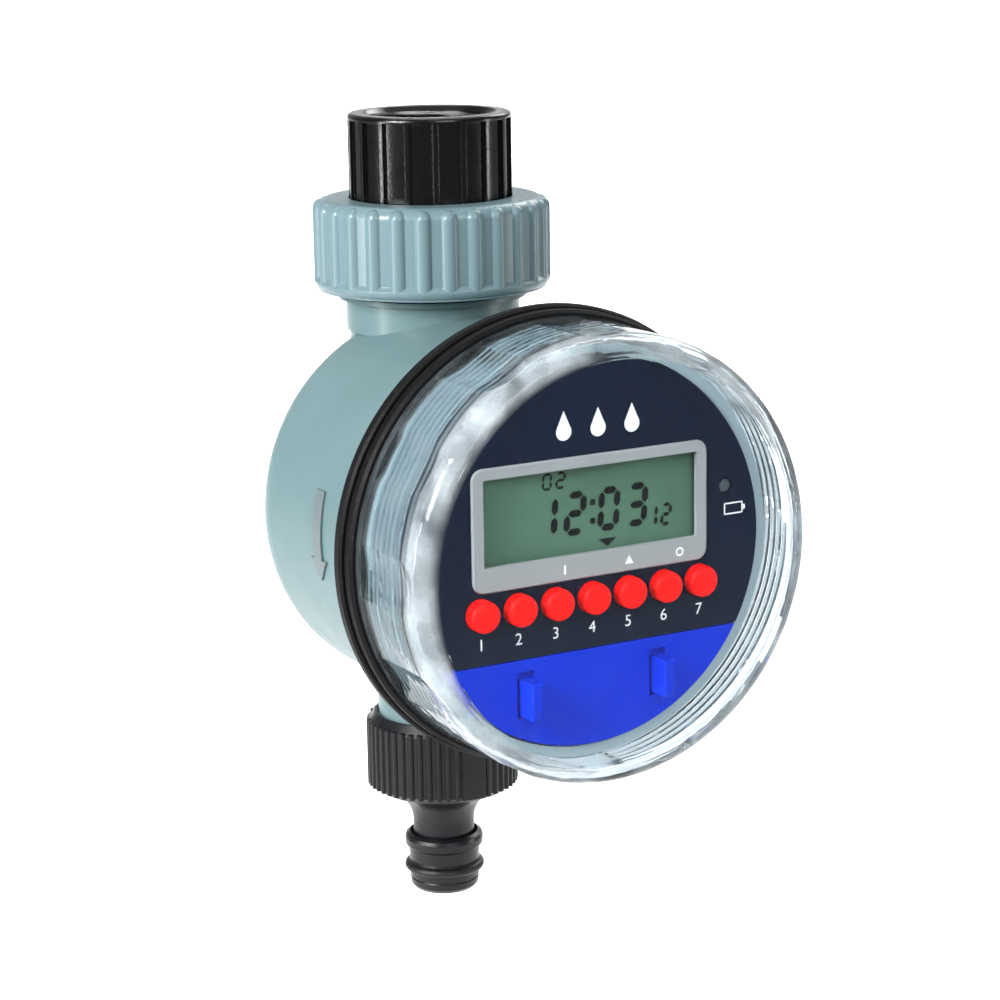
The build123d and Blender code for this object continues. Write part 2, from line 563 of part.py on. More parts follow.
def make_gearbox():
    """Base tray and flat cover, with ears for four screws and pads for the gear pins."""
    wall_top = GEARBOX_FRONT - PLATE
    floor_top = GEARBOX_BACK + PLATE
    base = rod(GEARBOX_RADIUS, GEARBOX_BACK, wall_top)
    base += [rod(EAR_RADIUS, GEARBOX_BACK, wall_top, at) for at in EAR_PLACES]
    base -= rod(GEARBOX_RADIUS - GEARBOX_WALL, floor_top, wall_top)
    base += [rod(1.3, floor_top - 0.1, wall_top, at) for at in ((-22, 0), (-12, -22), (4, 27))]
    base -= rod(STEM_RADIUS + GAP, GEARBOX_BACK, floor_top)
    base -= rod(MOTOR_SHAFT + GAP, GEARBOX_BACK, floor_top, MOTOR_AXIS)
    lid = rod(GEARBOX_RADIUS, wall_top, GEARBOX_FRONT)
    lid += [rod(EAR_RADIUS, wall_top, GEARBOX_FRONT, at) for at in EAR_PLACES]
    for at in (FIRST_AXIS, SECOND_AXIS):
        base -= rod(PIN_RADIUS + 0.01, GEARBOX_BACK, floor_top, at)
        lid -= rod(PIN_RADIUS + 0.01, wall_top, GEARBOX_FRONT, at)
    for at in EAR_PLACES:
        base -= rod(1.6, GEARBOX_BACK, wall_top, at)
        lid -= rod(1.6, wall_top, GEARBOX_FRONT, at)
    lid -= rod(STEM_RADIUS + GAP, wall_top, GEARBOX_FRONT)
    screws = [countersunk_screw(1.15, 2.6, GEARBOX_BACK - 10.5, GEARBOX_FRONT, at) for at in EAR_PLACES]
    pins = [rod(PIN_RADIUS, GEARBOX_BACK, GEARBOX_FRONT, at) for at in (FIRST_AXIS, SECOND_AXIS)]
    return base, lid, screws, pins


def limit_switch():
    """Small switch with its plunger facing the cam, and three solder tags."""
    low, high = GEARBOX_BACK + PLATE, COARSE_PLANE[0] - 0.6
    plunger_reach = -CAM_LOBE - GAP
    body = block((plunger_reach - 7.5, plunger_reach - 1.2), (-5.5, 5.5), (low, high))
    body += block((plunger_reach - 1.3, plunger_reach), (-0.9, 0.9), (low + 3.4, high - 0.6))
    tags = [block((plunger_reach - 9.5, plunger_reach - 7.4), (y - 0.5, y + 0.5), (low + 2, low + 2.6))
            for y in (-4, 0, 4)]
    return body + tags


def make_gear_parts():
    base, lid, screws, pins = make_gearbox()
    first = compound_gear(FINE, FINE_PLANE, MIDDLE, MIDDLE_PLANE, TO_MOTOR, TO_FIRST + 180)
    second = compound_gear(MIDDLE, MIDDLE_PLANE, COARSE, COARSE_PLANE, TO_FIRST, TO_SECOND + 180)
    pinion = gear_blank(PINION_TEETH, FINE, FINE_PLANE, TO_MOTOR + 180)
    pinion -= rod(MOTOR_SHAFT, GEARBOX_BACK, GEARBOX_FRONT)
    can = rod(MOTOR_RADIUS, GEARBOX_BACK - MOTOR_LENGTH, GEARBOX_BACK - FIT, MOTOR_AXIS)
    can = fillet(can.edges().sort_by(Axis.Z)[0], 1.2)
    can -= rod(MOTOR_SHAFT + RUN, GEARBOX_BACK - 12, GEARBOX_BACK, MOTOR_AXIS)
    shaft = rod(MOTOR_SHAFT, GEARBOX_BACK - 11.5, FINE_PLANE[1] + 0.3, MOTOR_AXIS)
    second_place, first_place = Pos(*SECOND_AXIS), Pos(*FIRST_AXIS)
    return {
        "gearbox_base": base,
        "gearbox_cover": lid,
        "gearbox_screws": Compound(screws),
        "gear_pins": Compound(pins),
        "motor": can,
        "motor_shaft": shaft,
        "motor_pinion": Pos(*MOTOR_AXIS) * pinion,
        "first_gear": first_place * first,
        "second_gear": second_place * second,
        "output_gear": make_output_gear(),
        "limit_switches": Compound([limit_switch(), Rot(0, 0, -90) * limit_switch()]),
    }


# ---- control module (FACE frame) ------------------------------------------------------------
def above(line):
    """Everything above a level line on the face."""
    far = 2 * DRUM_RADIUS
    return block((-far, far), (line, far), (0, far))


def below(line):
    """Everything below a level line on the face."""
    far = 2 * DRUM_RADIUS
    return block((-far, far), (-far, line), (0, far))


def rounded_plate(width, height, low, high, corner, y=0):
    """Plate with rounded corners, centred on the face's middle line."""
    plate = Pos(0, y, low) * Box(width, height, high - low, align=UP)
    return fillet(plate.edges().filter_by(Axis.Z), corner)


def button_places():
    return [((i - (BUTTONS - 1) / 2) * BUTTON_PITCH, BUTTON_Y) for i in range(BUTTONS)]


def board_screw_places():
    return [(-22, 26), (22, 26), (-31, TRAY_TOP + 7.4), (31, TRAY_TOP + 7.4)]


def make_module_case():
    """Cup behind the panel, with the shelf and back wall that guide the battery tray."""
    shelf = TRAY_TOP + 0.4
    shelf_top = shelf + 1.5
    rim_low = NECK_SEAT + GAP
    rim_high = PANEL_BACK - FIT
    cup = rod(CASE_RADIUS, CASE_BACK, rim_high) + rod(CASE_RIM, rim_low, rim_high)
    lug = block((CASE_RADIUS - 1, DRUM_BORE + 0.5), (-3, 3), (SNAP_LOW + 0.2, SNAP_HIGH - 0.2))
    cup += [Rot(0, 0, angle) * lug for angle in SNAP_ANGLES]
    cup &= above(shelf)
    cup -= rod(CASE_RADIUS - CASE_WALL, CASE_BACK + 1.5, rim_high) & above(shelf_top)
    well = rod(CASE_RADIUS, WELL_BACK, WELL_BACK + 1.5) & below(shelf_top)
    shelf_plate = rod(CASE_RADIUS, WELL_BACK, CASE_BACK + 1) & above(shelf) & below(shelf_top)
    posts = [rod(2.6, CASE_BACK + 1, BOARD_BACK, at) for at in board_screw_places()]
    case = cup + well + shelf_plate + posts
    case -= [rod(0.8, CASE_BACK + 2, BOARD_BACK, at) for at in board_screw_places()]
    return case


def make_panel():
    """Front plate above the tray, with windows for display, buttons and lamp."""
    edge = TRAY_TOP + 0.1
    skirt = CASE_RADIUS - CASE_WALL - FIT
    panel = rod(PANEL_RADIUS, PANEL_BACK, PANEL_FRONT) & above(edge)
    panel += pipe(skirt, skirt - 0.9, PANEL_BACK - 2.4, PANEL_BACK) & above(TRAY_TOP + 3)
    opening = (DISPLAY_WIDTH + 1.8, DISPLAY_HEIGHT + 1.8)
    panel -= rounded_plate(*opening, PANEL_BACK, PANEL_FRONT, 0.6, DISPLAY_Y)
    recess = (BEZEL_WIDTH + FIT, BEZEL_HEIGHT + FIT)
    panel -= rounded_plate(*recess, PANEL_FRONT - 0.5, PANEL_FRONT, 2.55, BEZEL_Y)
    panel -= [rod(BUTTON_RADIUS + 0.2, PANEL_BACK, PANEL_FRONT, at) for at in button_places()]
    return panel - rod(LED_RADIUS + FIT, PANEL_BACK, PANEL_FRONT, (LED_X, LED_Y))


def make_button(place):
    """Domed cap whose flange stays behind the panel, with a foot for the switch."""
    flange_top = PANEL_BACK - FIT
    cap = rod(BUTTON_RADIUS, flange_top - 1, PANEL_FRONT + BUTTON_PROUD, place)
    cap = fillet(cap.edges().sort_by(Axis.Z)[-1], 1.0)
    foot = BOARD_FRONT + 3.5 + FIT + BUTTON_TRAVEL
    cap += rod(BUTTON_FLANGE, flange_top - 1, flange_top, place)
    return cap + rod(1.5, foot, flange_top - 0.5, place)


def make_display():
    """Bezel, clear window, liquid crystal glass and the frame that holds it off the board."""
    bezel_back, bezel_front = PANEL_FRONT - 0.5, PANEL_FRONT + BEZEL_PROUD
    bezel = rounded_plate(BEZEL_WIDTH, BEZEL_HEIGHT, bezel_back, bezel_front, 2.5, BEZEL_Y)
    bezel = chamfer(bezel.faces().sort_by(Axis.Z)[-1].edges(), 0.3)
    bezel -= rounded_plate(DISPLAY_WIDTH, DISPLAY_HEIGHT, bezel_back, bezel_front, 0.4, DISPLAY_Y)
    window = rounded_plate(
        DISPLAY_WIDTH + 1.6, DISPLAY_HEIGHT + 1.6, PANEL_BACK + FIT, PANEL_FRONT - 0.5, 0.5, DISPLAY_Y
    )
    glass_back, glass_front = BOARD_FRONT + 4.0, PANEL_BACK - FIT
    glass_size = (DISPLAY_WIDTH + 6.4, DISPLAY_HEIGHT + 6)
    frame_hole = (glass_size[0] - 3.5, glass_size[1] - 3.6)
    glass = rounded_plate(*glass_size, glass_back, glass_front, 0.4, DISPLAY_Y)
    frame = rounded_plate(*glass_size, BOARD_FRONT, glass_back, 0.4, DISPLAY_Y)
    frame -= rounded_plate(*frame_hole, BOARD_FRONT, glass_back, 0.4, DISPLAY_Y)
    return bezel, window, glass, frame


def make_module_parts():
    bezel, window, glass, frame = make_display()
    board = rod(BOARD_RADIUS, BOARD_BACK, BOARD_FRONT) & above(TRAY_TOP + 2.6)
    board -= [rod(1.1, BOARD_BACK, BOARD_FRONT, at) for at in board_screw_places()]
    screws = [countersunk_screw(0.78, 1.9, CASE_BACK + 3, BOARD_FRONT, at) for at in board_screw_places()]
    switch = block((-3, 3), (-3, 3), (BOARD_FRONT, BOARD_FRONT + 3.3))
    switch += rod(1.7, BOARD_FRONT + 3.2, BOARD_FRONT + 3.5)
    lamp = rod(LED_RADIUS, BOARD_FRONT + 4, PANEL_FRONT + 0.2, (LED_X, LED_Y))
    lamp = fillet(lamp.edges().sort_by(Axis.Z)[-1], 0.9)
    lamp += [rod(0.3, BOARD_FRONT, BOARD_FRONT + 4.2, (LED_X + side, LED_Y)) for side in (-0.7, 0.7)]
    spring = block((-0.5, 0.5), (-2, 2), (WELL_BACK + 1.5, WELL_BACK + 1.8))
    springs = [Pos(x, CELL_Y, 0) * spring for x in (TRAY_RADIUS / 4, TRAY_RADIUS / 2)]
    parts = {
        "module_case": make_module_case(),
        "front_panel": make_panel(),
        "display_bezel": bezel,
        "display_window": window,
        "display_glass": glass,
        "display_frame": frame,
        "circuit_board": board,
        "board_screws": Compound(screws),
        "tact_switches": Compound([Pos(x, y, 0) * switch for x, y in button_places()]),
        "battery_lamp": lamp,
        "well_contacts": Compound(springs),
    }
    for number, place in enumerate(button_places(), start=1):
        parts[f"button_{number}"] = make_button(place)
    return parts


# ---- battery tray (FACE frame) ----------------------------------------------------------------
FRONT_CELL = PANEL_BACK - TRAY_WALL - BAY_RADIUS
CELL_LEVELS = (FRONT_CELL, FRONT_CELL - CELL_PITCH)
TAB_MIDDLE = TRAY_TOP - 7.9


def make_tray():
    """Drawer: curved front plate with two pull tabs, and two open bays for the cells."""
    top = TRAY_TOP - 0.15
    plate = rod(PANEL_RADIUS - 0.1, PANEL_BACK, PANEL_FRONT) & below(top)
    body = rod(TRAY_RADIUS, TRAY_BACK, PANEL_BACK + 0.5) & below(top - 0.1)
    tray = plate + body
    for level in CELL_LEVELS:
        bay = Pos(0, CELL_Y, level) * Rot(0, 90, 0) * Cylinder(BAY_RADIUS, 2 * BAY_HALF)
        bay += block((-BAY_HALF, BAY_HALF), (CELL_Y, 0), (level - BAY_RADIUS, level + BAY_RADIUS))
        tray -= bay
    for side in (-1, 1):
        x = side * TAB_X
        pocket = block(
            (x - TAB_WIDTH / 2 - 0.7, x + TAB_WIDTH / 2 + 0.7),
            (TAB_MIDDLE - TAB_HEIGHT / 2 - 0.6, TAB_MIDDLE + TAB_HEIGHT / 2 + 1.5),
            (PANEL_FRONT - TAB_POCKET, PANEL_FRONT),
        )
        tab = Pos(x, TAB_MIDDLE, PANEL_BACK) * Box(
            TAB_WIDTH, TAB_HEIGHT, PANEL_THICKNESS + TAB_PROUD, align=UP
        )
        tab = fillet(tab.faces().sort_by(Axis.Z)[-1].edges(), 0.5)
        tray = tray - pocket + tab
    return tray


def make_cell(level, side):
    """AAA cell lying across the tray, with its nub on the given side."""
    can = CELL_LENGTH - CELL_NUB
    cell = Cylinder(CELL_RADIUS, can, align=UP)
    cell = fillet(cell.edges(), 0.5)
    cell += rod(CELL_NUB_RADIUS, can - 0.1, CELL_LENGTH)
    return Pos(-side * CELL_LENGTH / 2, CELL_Y, level) * Rot(0, 90 * side, 0) * cell


def make_tray_parts():
    front, rear = CELL_LEVELS
    end = BAY_HALF - FIT
    reach = CELL_RADIUS - 1
    heights = (CELL_Y - 2, CELL_Y + reach)
    bridge = block((-end, 0.4 - end), heights, (front - reach, front + reach))
    contacts = [bridge, Pos(0, 0, rear - front) * bridge]
    contacts += [block((end - 0.4, end), heights, (level - reach, level + reach)) for level in CELL_LEVELS]
    return {
        "battery_tray": make_tray(),
        "front_cell": make_cell(front, 1),
        "rear_cell": make_cell(rear, -1),
        "battery_contacts": Compound(contacts),
    }


# ---- clear cover and its seals (FACE frame) -----------------------------------------------------
def make_scoop():
    """Finger scoop: a lying cylinder with a round end, sunk into the cover's wall."""
    sagitta = SCOOP_DEPTH - (COVER_RADIUS - sqrt(COVER_RADIUS**2 - SCOOP_WIDTH**2 / 4))
    radius = (SCOOP_WIDTH**2 / 4 + sagitta**2) / (2 * sagitta)
    centre = COVER_RADIUS - SCOOP_DEPTH + radius
    scoop = rod(radius, COVER_BACK + COVER_LIP_WIDTH, SCOOP_END, (0, centre))
    return scoop + Pos(0, centre, SCOOP_END) * Sphere(radius)


def make_cover():
    """Clear screw cover: fluted wall, flat window, and an inside thread for the neck."""
    body = rod(COVER_RADIUS, COVER_BACK, COVER_FRONT)
    body = fillet(body.edges().sort_by(Axis.Z)[-1], COVER_EDGE)
    body += rod(COVER_RADIUS + COVER_LIP, COVER_BACK, COVER_BACK + COVER_LIP_WIDTH)
    body -= around(make_scoop(), SCOOPS)
    hollow = rod(COVER_BORE, COVER_BACK, COVER_FRONT - WINDOW_THICKNESS)
    hollow = fillet(hollow.edges().sort_by(Axis.Z)[-1], COVER_EDGE - 1)
    ridges = thread(
        COVER_LEAD,
        COVER_STARTS,
        COVER_THREAD_START,
        COVER_THREAD_LENGTH,
        COVER_BORE + 0.15,
        COVER_BORE - COVER_THREAD_HEIGHT,
    )
    return body - hollow + ridges


def make_seal_ring():
    """Rubber band that wraps the back and rim of the drum's flange."""
    outline = [
        (DRUM_RADIUS + RUN, RING_BACK),
        (RING_RADIUS - 0.6, RING_BACK),
        (RING_RADIUS, RING_BACK + 0.6),
        (RING_RADIUS, FLANGE_FRONT - 0.5),
        (RING_RADIUS - 0.5, FLANGE_FRONT),
        (FLANGE_RADIUS + RUN, FLANGE_FRONT),
        (FLANGE_RADIUS + RUN, FLANGE_BACK - RUN),
        (DRUM_RADIUS + RUN, FLANGE_BACK - RUN),
    ]
    return turned(outline)


def make_gasket():
    """Flat gasket between the flange and the cover, carried in and out by the cover."""
    low, high = FLANGE_FRONT + RUN, COVER_BACK - RUN
    outline = [
        (NECK_RADIUS + COVER_THREAD_HEIGHT + GAP, low),
        (GASKET_RADIUS - 0.6, low),
        (GASKET_RADIUS, low + 0.6),
        (GASKET_RADIUS, high - 0.6),
        (GASKET_RADIUS - 0.6, high),
        (NECK_RADIUS + COVER_THREAD_HEIGHT + GAP, high),
    ]
    return turned(outline)


# ---- hose connector (OUTLET frame) --------------------------------------------------------------
def make_connector():
    """Ribbed nut, cone and quick-fit nipple in one moulding, with a thread for the outlet."""
    neck = NIPPLE_NECK
    flange = CONNECTOR_FLOOR + 17.0
    body = turned(
        [
            (0, CONNECTOR_TOP),
            (CONNECTOR_RADIUS - 2.0, CONNECTOR_TOP),
            (CONNECTOR_RADIUS - 0.5, CONNECTOR_TOP + 2.2),
            (CONNECTOR_RADIUS - 0.5, CONNECTOR_FLOOR + 3.2),
            (CONNECTOR_RADIUS - 1.9, CONNECTOR_FLOOR + 4.6),
            (0, CONNECTOR_FLOOR + 4.6),
        ]
    )
    rib_low, rib_high = CONNECTOR_TOP + 1.6, CONNECTOR_FLOOR + 3.6
    rib = rod(0.62, rib_low, rib_high, (CONNECTOR_RADIUS - 0.62, 0))
    span = 360 / CONNECTOR_GROUPS
    for group in range(CONNECTOR_GROUPS):
        for number in range(CONNECTOR_RIBS_PER_GROUP):
            offset = (number - (CONNECTOR_RIBS_PER_GROUP - 1) / 2) * CONNECTOR_RIB_PITCH
            body += Rot(0, 0, CONNECTOR_TURN + group * span + offset) * rib
        flat_middle = CONNECTOR_TURN + (group + 0.5) * span
        half_flat = (span - CONNECTOR_RIBS_PER_GROUP * CONNECTOR_RIB_PITCH) / 2
        pad_half = (CONNECTOR_RADIUS - 0.5) * sin(radians(half_flat))
        pad = block((8, CONNECTOR_RADIUS), (-pad_half, pad_half), (rib_low + 0.6, rib_high))
        body += Rot(0, 0, flat_middle) * (pad & rod(CONNECTOR_RADIUS - 0.1, rib_low, rib_high))
    cone_top, cone_end = CONNECTOR_FLOOR + 4.6, CONNECTOR_FLOOR + 12.6
    cone = make_face(
        Plane.XZ
        * (
            Line((0, cone_top - 0.5), (11.6, cone_top - 0.5))
            + Line((11.6, cone_top - 0.5), (11.2, cone_top + 1.4))
            + Spline((11.2, cone_top + 1.4), (8.1, cone_top + 4.2), (neck, cone_end))
            + Line((neck, cone_end), (0, cone_end))
            + Line((0, cone_end), (0, cone_top - 0.5))
        )
    )
    body += revolve(cone, Axis.Z)
    nipple = turned(
        [
            (0, cone_end - 0.1),
            (neck, cone_end - 0.1),
            (neck, flange + 0.2),
            (neck + 0.75, flange - 0.8),
            (neck + 0.75, flange - 1.4),
            (neck + 1.65, flange - 0.8),
            (neck + 1.95, flange),
            (neck + 1.85, flange + 1.5),
            (neck + 1.05, flange + 2.3),
            (neck + 0.95, O_RING_LEVEL - 1.6),
            (neck + 1.2, O_RING_LEVEL - 1.3),
            (neck + 1.2, O_RING_LEVEL - 1.1),
            (neck + RUN, O_RING_LEVEL - 1.1),
            (neck + RUN, O_RING_LEVEL + 1.1),
            (neck + 1.05, O_RING_LEVEL + 1.1),
            (neck + 0.9, O_RING_LEVEL + 2.4),
            (neck + 0.65, O_RING_LEVEL + 2.6),
            (neck + 0.85, O_RING_LEVEL + 2.9),
            (neck + 0.75, NIPPLE_END - 0.8),
            (neck + 0.05, NIPPLE_END),
            (0, NIPPLE_END),
        ]
    )
    body += nipple
    body -= rod(CONNECTOR_BORE, CONNECTOR_TOP, CONNECTOR_FLOOR)
    body -= rod(OUTLET_COLLAR + GAP, CONNECTOR_TOP, OUTLET_COLLAR_END + 0.6)
    body -= rod(NIPPLE_BORE, CONNECTOR_FLOOR - 1, NIPPLE_END)
    ridges = thread(
        OUTLET_PITCH,
        1,
        STUB_THREAD_START + OUTLET_PITCH / 2,
        STUB_THREAD_LENGTH,
        CONNECTOR_BORE + 0.15,
        CONNECTOR_BORE - CONNECTOR_THREAD_HEIGHT,
    )
    return body + ridges


def make_outlet_parts():
    washer_top = STUB_END + RUN
    washer_radius = CONNECTOR_BORE - CONNECTOR_THREAD_HEIGHT - FIT
    return {
        "hose_connector": make_connector(),
        "connector_washer": pipe(washer_radius, NIPPLE_BORE + 1, washer_top, CONNECTOR_FLOOR - RUN),
        "nipple_o_ring": ring(NIPPLE_NECK + 1.08, 1.0, O_RING_LEVEL),
    }


# ---- write every node -----------------------------------------------------------------------
def make_nodes():
    nodes = make_inlet_parts()
    nodes["nut_retaining_ring"] = make_retaining_ring()
    nodes["inlet_filter"] = make_filter()
    nodes["housing_shell"] = make_housing()
    face_parts = {
        "cover_seal_ring": make_seal_ring(),
        "cover_gasket": make_gasket(),
        "clear_cover": make_cover(),
    }
    for group in (make_valve_parts(), make_gear_parts(), make_module_parts(), make_tray_parts()):
        face_parts.update(group)
    for name, shape in face_parts.items():
        nodes[name] = FACE * shape
    for name, shape in make_outlet_parts().items():
        nodes[name] = OUTLET * shape
    return nodes


os.makedirs("parts", exist_ok=True)
for name, shape in make_nodes().items():
    export_step(shape, f"parts/{name}.step")
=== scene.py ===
import json
import math

import bpy
from mathutils import Matrix, Vector


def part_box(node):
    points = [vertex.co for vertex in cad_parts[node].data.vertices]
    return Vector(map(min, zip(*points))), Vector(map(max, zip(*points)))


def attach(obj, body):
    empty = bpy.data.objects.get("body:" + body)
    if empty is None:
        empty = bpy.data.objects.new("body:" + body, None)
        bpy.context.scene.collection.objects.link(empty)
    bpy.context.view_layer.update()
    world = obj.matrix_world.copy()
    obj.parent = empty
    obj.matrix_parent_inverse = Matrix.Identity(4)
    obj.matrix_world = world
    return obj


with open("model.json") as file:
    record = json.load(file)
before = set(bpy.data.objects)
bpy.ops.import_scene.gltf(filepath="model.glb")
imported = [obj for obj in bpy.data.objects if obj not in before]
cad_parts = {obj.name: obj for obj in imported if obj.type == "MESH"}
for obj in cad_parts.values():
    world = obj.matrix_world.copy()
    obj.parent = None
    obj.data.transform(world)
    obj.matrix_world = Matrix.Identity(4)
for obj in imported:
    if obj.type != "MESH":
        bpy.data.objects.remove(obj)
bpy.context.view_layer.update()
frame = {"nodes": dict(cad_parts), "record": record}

MM = 0.001
DRUM = -0.0818  # height of the drum's axis in the row frame
FLOOR = -0.23  # height of the floor in the row frame
VIEW_AZIMUTH = -29.41  # the photograph's, in degrees: 0 is the front (-Y), -90 is the left (-X)


def towards(azimuth, elevation):
    """Unit vector from the object to a place at this azimuth and elevation in degrees."""
    a, e = math.radians(azimuth), math.radians(elevation)
    return Vector((math.sin(a) * math.cos(e), -math.cos(a) * math.cos(e), math.sin(e)))


# ---- camera ---------------------------------------------------------------------------------
def place_camera():
    """Camera at the photograph's angle, distance and roll, aimed near the drum's centre."""
    elevation, roll = 13.14, math.radians(-0.90)
    distance, aside, raised = 0.60488, 0.01384, -0.00185
    az = math.radians(VIEW_AZIMUTH)
    back = towards(VIEW_AZIMUTH, elevation)
    right = Vector((math.cos(az), math.sin(az), 0))
    up = back.cross(right)
    right, up = (
        right * math.cos(roll) + up * math.sin(roll),
        up * math.cos(roll) - right * math.sin(roll),
    )
    data = bpy.data.cameras.new("camera")
    data.sensor_width, data.lens = 36, 99.26
    data.clip_start, data.clip_end = 0.05, 30
    camera = bpy.data.objects.new("camera", data)
    bpy.context.scene.collection.objects.link(camera)
    spot = Vector((0, 0, DRUM)) + back * distance + right * aside + up * raised
    turn = Matrix((right, up, back)).transposed().to_4x4()
    camera.matrix_world = Matrix.Translation(spot) @ turn
    bpy.context.scene.camera = camera


place_camera()


# ---- materials --------------------------------------------------------------------------------
def srgb(r, g, b):
    """Linear colour with alpha 1 from 8-bit sRGB."""
    def linear(c):
        c /= 255
        return c / 12.92 if c <= 0.04045 else ((c + 0.055) / 1.055) ** 2.4
    return (linear(r), linear(g), linear(b), 1)


def tint(colour, factor):
    """The colour made darker or paler, with alpha 1."""
    return tuple(min(1, c * factor) for c in colour[:3]) + (1,)


class Nodes:
    """Short-hand for building one material's node tree."""

    def __init__(self, name):
        self.mat = bpy.data.materials.new(name)
        self.mat.use_nodes = True
        self.tree = self.mat.node_tree
        self.shader = self.tree.nodes["Principled BSDF"]
        self.place = self.add("ShaderNodeTexCoord").outputs["Object"]

    def add(self, kind, **values):
        node = self.tree.nodes.new(kind)
        for key, value in values.items():
            setattr(node, key, value)
        return node

    def link(self, a, b):
        self.tree.links.new(a, b)

    def noise(self, scale, detail, stretch=None):
        """Noise over the object's place, with its scale stretched along the axes if asked."""
        node = self.add("ShaderNodeTexNoise")
        node.inputs["Scale"].default_value = scale
        node.inputs["Detail"].default_value = detail
        source = self.place
        if stretch:
            mapping = self.add("ShaderNodeMapping")
            mapping.inputs["Scale"].default_value = stretch
            self.link(source, mapping.inputs["Vector"])
            source = mapping.outputs["Vector"]
        self.link(source, node.inputs["Vector"])
        return node.outputs["Fac"]

    def spread(self, value, low, high, start=0.3, end=0.7):
        """Maps start to end, by default where most of a noise lies, on low to high."""
        node = self.add("ShaderNodeMapRange")
        limits = {"From Min": start, "From Max": end, "To Min": low, "To Max": high}
        for key, limit in limits.items():
            node.inputs[key].default_value = limit
        self.link(value, node.inputs["Value"])
        return node.outputs["Result"]

    def blend(self, factor, first, second):
        """Mix of two colours, each a tuple or another node's output."""
        node = self.add("ShaderNodeMix", data_type="RGBA")
        self.link(factor, node.inputs["Factor"])
        for socket, value in ((node.inputs["A"], first), (node.inputs["B"], second)):
            if isinstance(value, tuple):
                socket.default_value = value
            else:
                self.link(value, socket)
        return node.outputs["Result"]

    def maths(self, operation, *values):
        """One math node on numbers or other nodes' outputs."""
        node = self.add("ShaderNodeMath", operation=operation)
        for socket, value in zip(node.inputs, values):
            if isinstance(value, (int, float)):
                socket.default_value = value
            else:
                self.link(value, socket)
        return node.outputs["Value"]

    def axes(self):
        """Outputs x, y and z of the object's place, in metres."""
        node = self.add("ShaderNodeSeparateXYZ")
        self.link(self.place, node.inputs["Vector"])
        return node.outputs["X"], node.outputs["Y"], node.outputs["Z"]

    def from_drum_axis(self):
        """Distance from the drum's axis, in metres."""
        x, _, z = self.axes()
        rise = self.maths("SUBTRACT", z, DRUM)
        squares = self.maths("MULTIPLY", x, x), self.maths("MULTIPLY", rise, rise)
        return self.maths("SQRT", self.maths("ADD", *squares))

    def bump(self, heights, rounding=0.0):
        """Chains (height output, depth in metres) pairs into one normal.

        With a rounding radius in metres the chain starts from softened edges.
        """
        normal = None
        if rounding:
            bevel = self.add("ShaderNodeBevel", samples=6)
            bevel.inputs["Radius"].default_value = rounding
            normal = bevel.outputs["Normal"]
        for height, depth in heights:
            node = self.add("ShaderNodeBump")
            node.inputs["Distance"].default_value = depth
            node.inputs["Strength"].default_value = 1.0
            self.link(height, node.inputs["Height"])
            if normal:
                self.link(normal, node.inputs["Normal"])
            normal = node.outputs["Normal"]
        self.link(normal, self.shader.inputs["Normal"])


DUST = srgb(205, 205, 200)
ARROW_FROM_X, ARROW_FROM_Y = -0.035, -0.044  # the flow arrow lies left of and behind these


def plastic(name, colour, rough, grain=2600, depth=0.00002, vary=0.08, dust=0.0, shine=0.5,
            rounding=0.0, front=None, raised=None):
    """Moulded plastic or rubber: mottled colour, fine grain, uneven gloss and a little dust.

    grain is the scale of the fine relief and depth its height in metres. front is (y, colour
    ahead of it), a paler colour that is painted haze, standing in for light scattered in the
    clear cover over the neck. raised is (radius, colour of what stands proud of it on the drum's
    left side), which is the flow arrow.
    """
    n = Nodes(name)
    mottle = n.spread(n.noise(70, 4), 0, 1)
    base = n.blend(mottle, tint(colour, 1 - vary), tint(colour, 1 + vary))
    # painted haze: ahead of y the colour turns paler, for light scattered in the cover over the
    # neck
    if front:
        y_edge, painted_haze_colour = front
        soft = 0.0001
        beyond = n.spread(n.axes()[1], 0, 1, y_edge + soft, y_edge - soft)
        base = n.blend(beyond, base, painted_haze_colour)
    if raised:
        radius, proud_colour = raised
        x, y, _ = n.axes()
        proud = n.maths("GREATER_THAN", n.from_drum_axis(), radius)
        left = n.maths("LESS_THAN", x, ARROW_FROM_X)
        side = n.maths("MULTIPLY", left, n.maths("GREATER_THAN", y, ARROW_FROM_Y))
        base = n.blend(n.maths("MULTIPLY", proud, side), base, proud_colour)
    if dust:
        specks = n.spread(n.noise(900, 5), 0, dust, 0.62, 0.8)
        base = n.blend(specks, base, DUST)
    n.link(base, n.shader.inputs["Base Color"])
    gloss = n.spread(n.noise(180, 6), rough * 0.92, min(1, rough * 1.1))
    n.link(gloss, n.shader.inputs["Roughness"])
    n.bump([(n.noise(grain, 3), depth), (n.noise(60, 2), 0.00003)], rounding)
    n.shader.inputs["Specular IOR Level"].default_value = shine
    return n.mat


def metal(name, colour, rough, stretch):
    """Turned or drawn metal with fine tool marks along one direction."""
    n = Nodes(name)
    marks = n.noise(900, 4, stretch)
    base = n.blend(n.spread(marks, 0, 1), tint(colour, 0.85), tint(colour, 1.1))
    n.link(base, n.shader.inputs["Base Color"])
    n.link(n.spread(marks, rough * 0.7, rough * 1.4), n.shader.inputs["Roughness"])
    n.shader.inputs["Metallic"].default_value = 1.0
    n.bump([(marks, 0.00001)])
    return n.mat


